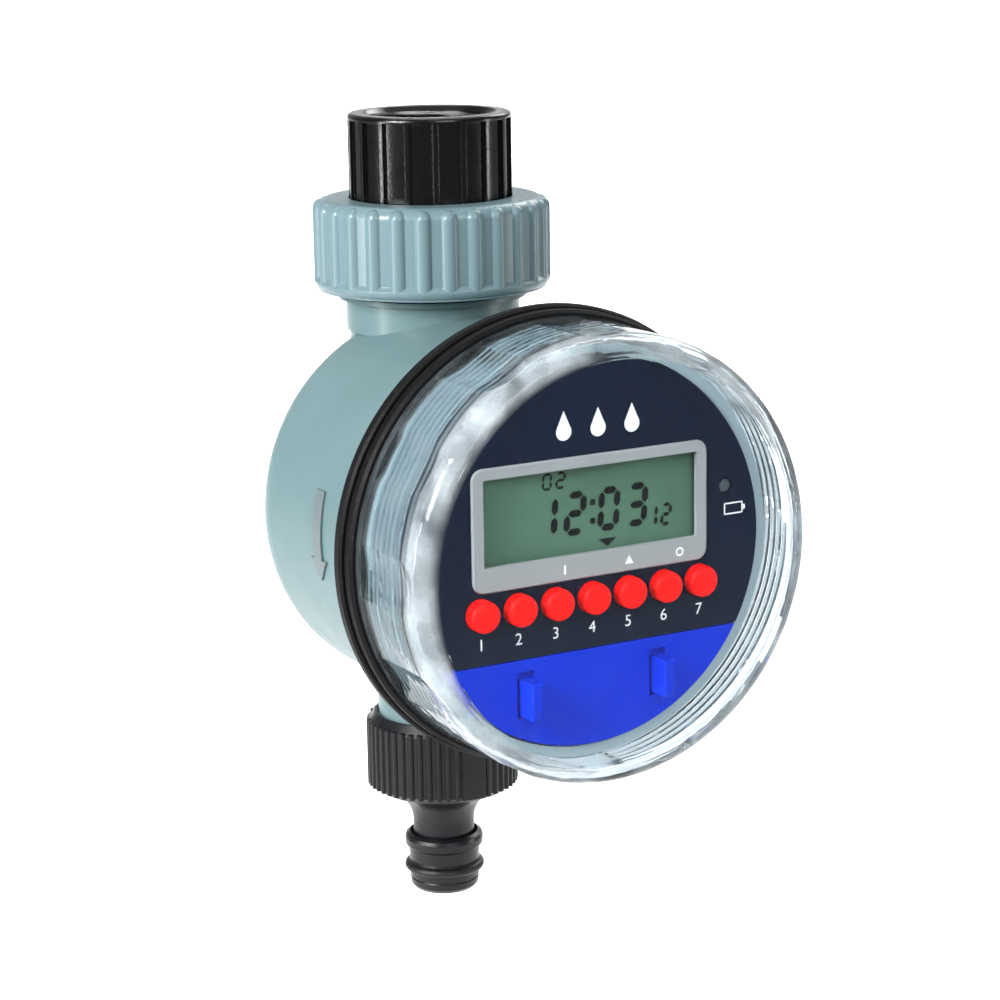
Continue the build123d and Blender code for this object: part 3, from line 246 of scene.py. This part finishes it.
def clear(name, colour, rough, depth, ior, painted_rim_light=None):
    """Clear moulded plastic with faint flow marks; rays from lamps pass straight through.

    The last argument, if given, is (radius, level, share in the round edge, share in the wall,
    colour, ripple depth). It ripples the cover beyond the radius and greys it there, a painted
    shade, and lets less light through the round edge ahead of the level, so the edge shows
    whiter, a painted glow, with patches as painted bright and dark streaks.
    """
    n = Nodes(name)
    flow = n.noise(45, 3)
    base = n.blend(n.spread(flow, 0, 1), tint(colour, 0.97), colour)
    n.link(n.spread(n.noise(300, 5), rough * 0.6, rough * 1.5), n.shader.inputs["Roughness"])
    if painted_rim_light:
        radius, level, edge_share, wall_share, painted_rim_colour, ripple_depth = painted_rim_light
        soft = 0.001
        rim = n.spread(n.from_drum_axis(), 0, 1, radius, radius + soft)
        ahead = n.spread(n.axes()[1], wall_share, edge_share, level + soft, level - soft)
        patches = n.spread(n.noise(110, 3), 0.1, 1.9)
        # painted glow: less light passes through the round edge, which shows whiter in patches
        # that stand for bright and dark streaks
        amount = n.maths("MULTIPLY", n.maths("MULTIPLY", rim, ahead), patches)
        n.link(n.maths("SUBTRACT", 1.0, amount), n.shader.inputs["Transmission Weight"])
        # painted shade: the cover is greyed beyond the radius
        base = n.blend(rim, base, painted_rim_colour)
        ripples = n.maths("MULTIPLY", rim, n.noise(120, 2))
        n.bump([(flow, depth), (ripples, ripple_depth)])
    else:
        n.shader.inputs["Transmission Weight"].default_value = 1.0
        n.bump([(flow, depth)])
    n.link(base, n.shader.inputs["Base Color"])
    n.shader.inputs["IOR"].default_value = ior
    lamp_rays = n.add("ShaderNodeLightPath").outputs["Is Shadow Ray"]
    through = n.add("ShaderNodeBsdfTransparent")
    through.inputs["Color"].default_value = tint(colour, 0.96)
    mix = n.add("ShaderNodeMixShader")
    n.link(lamp_rays, mix.inputs["Fac"])
    n.link(n.shader.outputs["BSDF"], mix.inputs[1])
    n.link(through.outputs["BSDF"], mix.inputs[2])
    n.link(mix.outputs["Shader"], n.tree.nodes["Material Output"].inputs["Surface"])
    return n.mat


def paint(name, colour):
    """Printed ink: slightly uneven cover over the moulding."""
    n = Nodes(name)
    cover = n.spread(n.noise(1500, 3), 0, 1)
    n.link(n.blend(cover, tint(colour, 0.9), colour), n.shader.inputs["Base Color"])
    rough = 0.5
    n.link(n.spread(n.noise(700, 3), rough * 0.9, rough * 1.1), n.shader.inputs["Roughness"])
    n.bump([(n.noise(2500, 2), 0.000004)])
    n.shader.inputs["Specular IOR Level"].default_value = 0.1
    return n.mat


NECK_PAINTED_HAZE = (-0.0484, srgb(142, 158, 162))  # painted haze: paler where the cover goes over the neck
FLOW_ARROW = (0.0414, srgb(95, 106, 110))  # darker than the drum it stands on
# painted light on the cover: grey past the radius as painted shade, a whiter round edge as painted
# glow
COVER_PAINTED_RIM_LIGHT = (0.0408, -0.0705, 0.24, 0.03, srgb(200, 208, 212), 0.0007)
LOOKS = {  # material slot: the function that makes it, and its values
    "adapter_black": (plastic, dict(colour=srgb(2, 2, 3), rough=0.2, grain=1700, depth=0.00004,
                                    vary=0.15, shine=0.4, rounding=0.0005)),
    "nut_grey": (plastic, dict(colour=srgb(99, 122, 128), rough=0.3, depth=0.000008, vary=0.02,
                               shine=0.4, rounding=0.0003)),
    "housing_teal": (plastic, dict(colour=srgb(92, 116, 119), rough=0.33, depth=0.00001,
                                   vary=0.04, dust=0.01, shine=0.35, front=NECK_PAINTED_HAZE,
                                   raised=FLOW_ARROW)),
    "band_rubber": (plastic, dict(colour=srgb(9, 9, 11), rough=0.5, grain=1400, depth=0.00004,
                                  vary=0.2, dust=0.03, shine=0.15)),
    "clear_plastic": (clear, dict(colour=srgb(246, 249, 251), rough=0.03, depth=0.00012,
                                  ior=1.25, painted_rim_light=COVER_PAINTED_RIM_LIGHT)),
    "panel_navy": (plastic, dict(colour=srgb(8, 20, 38), rough=0.5, grain=3000, depth=0.00001,
                                 vary=0.06, dust=0.01, shine=0.05)),
    "bezel_grey": (plastic, dict(colour=srgb(136, 139, 139), rough=0.4, grain=3000,
                                 depth=0.00001, vary=0.03, dust=0.02, shine=0.2)),
    "liquid_crystal": (plastic, dict(colour=srgb(80, 108, 90), rough=0.35, grain=4000,
                                     depth=0.000003, vary=0.05, shine=0.05)),
    "button_red": (plastic, dict(colour=srgb(255, 8, 4), rough=0.45, grain=1500, depth=0.00006,
                                 shine=0.12)),
    "tray_blue": (plastic, dict(colour=srgb(0, 42, 178), rough=0.5, depth=0.000015, vary=0.05,
                                shine=0.05)),
    "lamp_plastic": (plastic, dict(colour=srgb(52, 60, 66), rough=0.2, depth=0.000004,
                                   vary=0.05)),
    "connector_charcoal": (plastic, dict(colour=srgb(15, 16, 19), rough=0.34, grain=2200,
                                         depth=0.00003, vary=0.12, dust=0.03, shine=0.32,
                                         rounding=0.0002)),
    "ring_rubber": (plastic, dict(colour=srgb(18, 18, 19), rough=0.45, grain=2200, vary=0.1,
                                  dust=0.05, shine=0.35)),
    "inner_grey": (plastic, dict(colour=srgb(112, 116, 118), rough=0.45, grain=2400)),
    "seat_white": (plastic, dict(colour=srgb(236, 236, 230), rough=0.4, grain=2000,
                                 depth=0.00001, vary=0.03)),
    "gear_white": (plastic, dict(colour=srgb(226, 222, 205), rough=0.42, grain=2400,
                                 depth=0.00001, vary=0.04)),
    "ball_chrome": (metal, dict(colour=srgb(214, 216, 220), rough=0.12, stretch=(1, 6, 1))),
    "stem_brass": (metal, dict(colour=srgb(205, 168, 92), rough=0.25, stretch=(1, 8, 1))),
    "steel": (metal, dict(colour=srgb(178, 180, 184), rough=0.3, stretch=(1, 8, 1))),
    "board_green": (plastic, dict(colour=srgb(22, 92, 52), rough=0.35, grain=1200, vary=0.12)),
    "cell_sleeve": (plastic, dict(colour=srgb(40, 40, 46), rough=0.28, grain=3000,
                                  depth=0.000005)),
}
looks = {slot: make(slot, **values) for slot, (make, values) in LOOKS.items()}
for part in frame["record"]["subparts"]:
    node = frame["nodes"][part["node"]]
    node.data.materials.clear()
    node.data.materials.append(looks[part["material_slot"]])
window = frame["nodes"]["display_window"]
window.data.materials[0] = clear("display_clear", srgb(250, 252, 252), 0.02, 0.00001, 1.1)
ink_white = paint("ink_white", srgb(228, 230, 232))
ink_black = paint("ink_black", srgb(3, 5, 5))


# ---- pieces added over the CAD ------------------------------------------------------------------
def mesh_object(name, points, faces, material, body):
    """A flat-shaded mesh that rides on a body."""
    data = bpy.data.meshes.new(name)
    data.from_pydata(points, [], faces)
    data.update()
    obj = bpy.data.objects.new(name, data)
    bpy.context.scene.collection.objects.link(obj)
    data.materials.append(material)
    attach(obj, body)


def mouth_thread():
    """Turns of the pipe thread inside the tap adapter's mouth, sized in mm."""
    pitch, turns, steps = 1.814, 5.4, 120
    wall, crest = 13.21, 12.15  # radii
    wall_half, crest_half = 0.85, 0.2  # half widths of a turn
    lowest, fade = -10.2, 20  # height of the first turn; steps in which each end rises
    profile = [(wall, -wall_half), (crest, -crest_half), (crest, crest_half), (wall, wall_half)]
    points, faces = [], []
    total = int(turns * steps)
    for i in range(total + 1):
        angle = 2 * math.pi * i / steps
        ease = min(1, i / fade, (total - i) / fade)
        for radius, offset in profile:
            r = wall + (radius - wall) * ease
            z = lowest + pitch * i / steps + offset
            points.append((r * math.cos(angle) * MM, r * math.sin(angle) * MM, z * MM))
        if i:
            a, b = 4 * (i - 1), 4 * i
            faces += [(a + k, a + k + 1, b + k + 1, b + k) for k in range(3)]
    mesh_object("mouth_thread", points, faces, looks["adapter_black"], "inlet_fitting")


class Print:
    """Flat artwork on a plane that faces -Y, collected as polygons and made into one mesh.

    Places are in mm: x from the middle, z from the drum's axis.
    """

    def __init__(self, y):
        self.y, self.points, self.faces = y, [], []

    def polygon(self, outline):
        start = len(self.points)
        self.points += [(x * MM, self.y, DRUM + z * MM) for x, z in outline]
        self.faces.append(tuple(range(start, start + len(outline))))

    def bar(self, x, z, width, height):
        self.polygon([(x - width / 2, z - height / 2), (x + width / 2, z - height / 2),
                      (x + width / 2, z + height / 2), (x - width / 2, z + height / 2)])

    def ring(self, x, z, radius, stroke):
        steps, inner = 28, radius - stroke
        for i in range(steps):
            a, b = 2 * math.pi * i / steps, 2 * math.pi * (i + 1) / steps
            corners = ((radius, a), (radius, b), (inner, b), (inner, a))
            self.polygon([(x + r * math.cos(t), z + r * math.sin(t)) for r, t in corners])

    def done(self, name, material):
        mesh_object(name, self.points, self.faces, material, "housing")


PRINT_GAP, PANEL_PRINT_GAP = 0.00004, 0.00005  # metres from printed marks to the face behind
SEGMENTS = {"0": "abcdef", "1": "bc", "2": "abged", "3": "abgcd"}


def segment_digit(art, digit, x, z, width, height, stroke):
    """One seven-segment digit with its centre at (x, z), leaning slightly to the right."""
    half_w, half_h = (width - stroke) / 2, (height - stroke) / 2
    ends = {"a": ((-half_w, half_h), (half_w, half_h)), "g": ((-half_w, 0), (half_w, 0)),
            "d": ((-half_w, -half_h), (half_w, -half_h)), "f": ((-half_w, 0), (-half_w, half_h)),
            "b": ((half_w, 0), (half_w, half_h)), "e": ((-half_w, -half_h), (-half_w, 0)),
            "c": ((half_w, -half_h), (half_w, 0))}
    gap, s, lean = 0.14 * stroke, stroke / 2, 0.07
    for key in SEGMENTS[digit]:
        (x0, z0), (x1, z1) = ends[key]
        if z0 == z1:
            shape = [(x0 + gap, z0), (x0 + gap + s, z0 - s), (x1 - gap - s, z0 - s),
                     (x1 - gap, z0), (x1 - gap - s, z0 + s), (x0 + gap + s, z0 + s)]
        else:
            shape = [(x0, z0 + gap), (x0 + s, z0 + gap + s), (x0 + s, z1 - gap - s),
                     (x0, z1 - gap), (x0 - s, z1 - gap - s), (x0 - s, z0 + gap + s)]
        art.polygon([(x + px + lean * pz, z + pz) for px, pz in shape])


def display_print():
    """Time on the liquid crystal display, with two small pairs of digits and a mode marker."""
    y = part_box("display_glass")[0].y - PRINT_GAP
    art = Print(y)
    for digit, x in (("1", -9.2), ("2", -2.6), ("0", 5.3), ("3", 11.9)):
        segment_digit(art, digit, x, z=8.0, width=5.1, height=9.0, stroke=1.45)
    for z in (6.0, 9.8):  # the colon
        art.bar(1.5, z, 1.2, 1.2)
    for digit, x in (("1", 15.5), ("2", 18.9)):
        segment_digit(art, digit, x, z=5.1, width=2.7, height=4.8, stroke=0.8)
    for digit, x in (("0", -9.0), ("2", -5.9)):
        segment_digit(art, digit, x, z=15.2, width=2.3, height=3.5, stroke=0.55)
    art.polygon([(2.7, 2.0), (4.9, 0.3), (7.1, 2.0)])  # the marker
    art.done("display_digits", ink_black)


def number(text, x, z, size, y):
    """A printed number as a flat mesh on the panel, with its centre at (x, z) in mm."""
    curve = bpy.data.curves.new("label", "FONT")
    curve.body, curve.size = text, size * MM
    curve.align_x = curve.align_y = "CENTER"
    maker = bpy.data.objects.new("label", curve)
    bpy.context.scene.collection.objects.link(maker)
    maker.rotation_euler = (math.pi / 2, 0, 0)
    maker.location = (x * MM, y, DRUM + z * MM)
    bpy.context.view_layer.update()
    graph = bpy.context.evaluated_depsgraph_get()
    data = bpy.data.meshes.new_from_object(maker.evaluated_get(graph))
    data.transform(maker.matrix_world)
    bpy.data.objects.remove(maker)
    obj = bpy.data.objects.new("label_" + text, data)
    bpy.context.scene.collection.objects.link(obj)
    data.materials.clear()
    data.materials.append(ink_white)
    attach(obj, "housing")


def panel_print():
    """White marks on the navy panel: button numbers, three drops and a battery outline."""
    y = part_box("front_panel")[0].y - PANEL_PRINT_GAP
    buttons, pitch = 7, 8.5
    for i in range(buttons):
        number(str(i + 1), pitch * (i - buttons // 2), -15.4, 3.4, y)
    art = Print(y)
    radius, centre, tip = 1.75, 25.3, 29.5  # of a drop, in mm; centre and tip are heights
    for x in (-6.2, 1.7, 9.6):
        drop = [(x, tip)]
        for k in range(25):
            t = math.radians(35 - 10 * k)
            drop.append((x + radius * math.cos(t), centre + radius * math.sin(t)))
        art.polygon(drop)
    battery = ((34.0, 5.9, 4.6, 0.3), (34.0, 3.7, 4.6, 0.3), (31.85, 4.8, 0.3, 2.5),
               (36.15, 4.8, 0.3, 2.5), (36.6, 4.8, 0.5, 1.0))  # four sides and the tip
    for x, z, width, height in battery:
        art.bar(x, z, width, height)
    art.done("panel_marks", ink_white)


def bezel_print():
    """Symbols for on, off and automatic under the display."""
    art = Print(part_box("display_bezel")[0].y - PRINT_GAP)
    art.bar(-6.5, -2.5, 0.45, 1.9)
    art.ring(20.6, -2.5, 0.95, 0.36)
    art.polygon([(7.5, -3.3), (8.5, -1.5), (9.5, -3.3)])
    art.done("bezel_marks", ink_white)


mouth_thread()
display_print()
panel_print()
bezel_print()


# ---- floor, light -------------------------------------------------------------------------------
def make_floor():
    """Plain pale floor that faces the photograph's camera and curves up behind the object."""
    half_width, near, top = 4.0, -3.0, 4.0
    bend, radius, steps = 0.8, 1.2, 12  # where the curve starts, its radius, its faces
    rows = [(near, FLOOR), (bend, FLOOR)]
    for k in range(1, steps + 1):
        t = math.radians(90 * k / steps)
        rows.append((bend + radius * math.sin(t), FLOOR + radius * (1 - math.cos(t))))
    rows.append((bend + radius, top))
    turn = math.radians(VIEW_AZIMUTH)
    points, faces = [], []
    for y, z in rows:
        for x in (-half_width, half_width):
            points.append((x * math.cos(turn) - y * math.sin(turn),
                           x * math.sin(turn) + y * math.cos(turn), z))
    for i in range(len(rows) - 1):
        faces.append((2 * i, 2 * i + 1, 2 * i + 3, 2 * i + 2))
    data = bpy.data.meshes.new("floor")
    data.from_pydata(points, [], faces)
    for face in data.polygons:
        face.use_smooth = True
    floor = bpy.data.objects.new("floor", data)
    bpy.context.scene.collection.objects.link(floor)
    data.materials.append(plastic("floor_white", srgb(247, 248, 248), rough=0.7, grain=60,
                                  depth=0.00001, vary=0.01))


def softbox(name, azimuth, elevation, distance, size, power, spread, target=(0, -0.03, DRUM),
            height=None):
    """Soft light, square or of its own height, that points at the drum or another target.

    Angles are in degrees, distance and sizes in metres, power in watts.
    """
    light = bpy.data.lights.new(name, "AREA")
    light.shape, light.size, light.size_y = "RECTANGLE", size, height or size
    light.energy, light.spread = power, math.radians(spread)
    obj = bpy.data.objects.new(name, light)
    bpy.context.scene.collection.objects.link(obj)
    back = towards(azimuth, elevation)
    obj.location = Vector(target) + back * distance
    obj.rotation_mode = "QUATERNION"
    obj.rotation_quaternion = back.to_track_quat("Z", "Y")


STRIPS_TARGET = (0, -0.02, -0.12)
make_floor()
softbox("key", -76, 26, distance=1.0, size=0.4, power=2.2, spread=60)
softbox("fill", -5, 30, distance=1.1, size=0.5, power=0.5, spread=50)
softbox("ceiling", 0, 89, distance=2.3, size=3.2, power=13, spread=170,
        target=(0, -0.5, FLOOR))
softbox("rim", 120, 35, distance=1.1, size=0.5, power=0.5, spread=50)
softbox("left_strip", -98, 4, distance=0.8, size=0.07, power=0.6, spread=90,
        target=STRIPS_TARGET, height=0.3)
softbox("right_strip", 62, 4, distance=0.8, size=0.05, power=0.3, spread=90,
        target=STRIPS_TARGET, height=0.3)
softbox("backdrop", VIEW_AZIMUTH, 89, distance=1.3, size=0.9, power=13, spread=80,
        target=(0.44, 0.82, FLOOR))

world = bpy.data.worlds.new("studio")
bpy.context.scene.world = world
world.use_nodes = True
background = world.node_tree.nodes["Background"]
background.inputs["Color"].default_value = (1, 1, 1, 1)
background.inputs["Strength"].default_value = 0.22
bpy.context.scene.view_settings.view_transform = "Standard"
